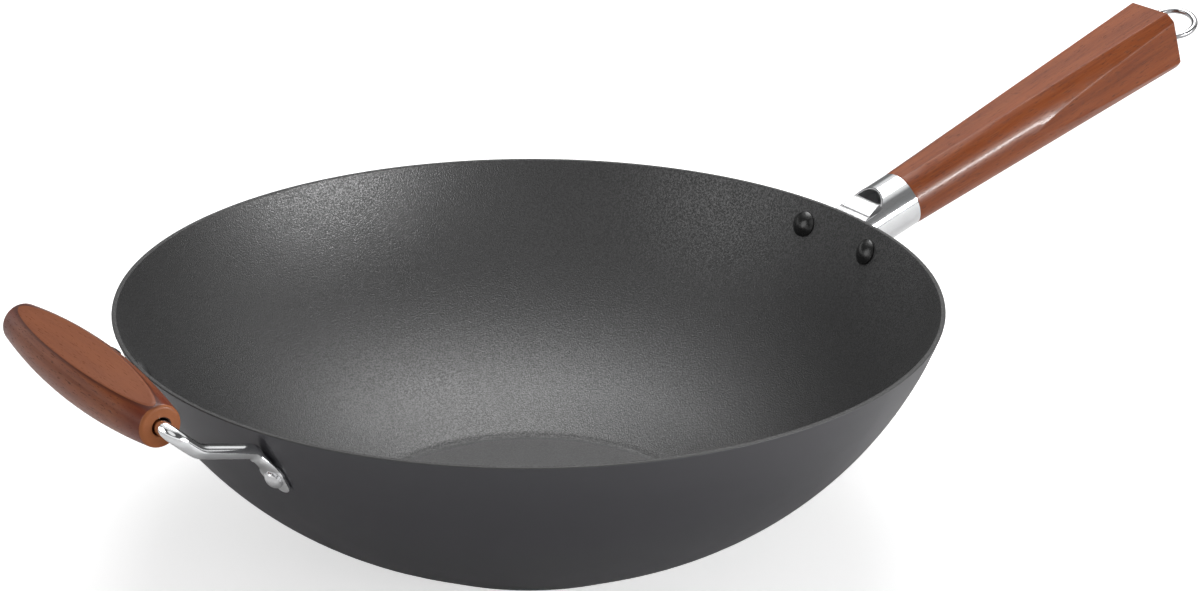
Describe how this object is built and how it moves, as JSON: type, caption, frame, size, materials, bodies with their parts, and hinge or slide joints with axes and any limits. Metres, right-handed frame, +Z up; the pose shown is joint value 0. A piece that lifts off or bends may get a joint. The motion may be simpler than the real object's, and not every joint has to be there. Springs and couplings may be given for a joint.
{
  "type": "wok",
  "caption": "Flat-bottomed stovetop wok with a nonstick steel bowl, a long tilted wooden handle with a hanging ring, and a wooden helper grip on a bent bar.",
  "frame": {"origin": "centre of the underside of the flat base", "axes": "+Z up, +X along the long handle seen from above, the helper grip on -X"},
  "size_m": [0.6151, 0.3556, 0.1719],
  "materials": {
    "nonstick_steel": "satin speckled nonstick coating",
    "bracket_steel": "bright rolled sheet",
    "polished_steel": "polished",
    "black_rivet": "glossy black",
    "rivet_steel": "bright",
    "wood": "glossy lacquer",
    "grip_wood": "glossy lacquer"
  },
  "bodies": {
    "wok": {"bowl": "nonstick_steel", "handle_bracket": "bracket_steel", "handle_ferrule": "polished_steel", "bracket_rivet_left": "black_rivet", "bracket_rivet_right": "black_rivet", "long_handle_grip": "wood", "tie_rod": "bracket_steel", "tie_rod_nut": "bracket_steel", "hanging_ring": "polished_steel", "helper_rod": "polished_steel", "helper_rivet_left": "rivet_steel", "helper_rivet_right": "rivet_steel"},
    "grip": {"helper_grip": "grip_wood"}
  },
  "joints": [
    {"name": "helper_grip_turn", "type": "hinge", "parent": "wok", "child": "grip", "pos_m": [-0.20669, 0.00206, 0.116], "axis": [0.0099, 1, 0], "continuous": true}
  ]
}
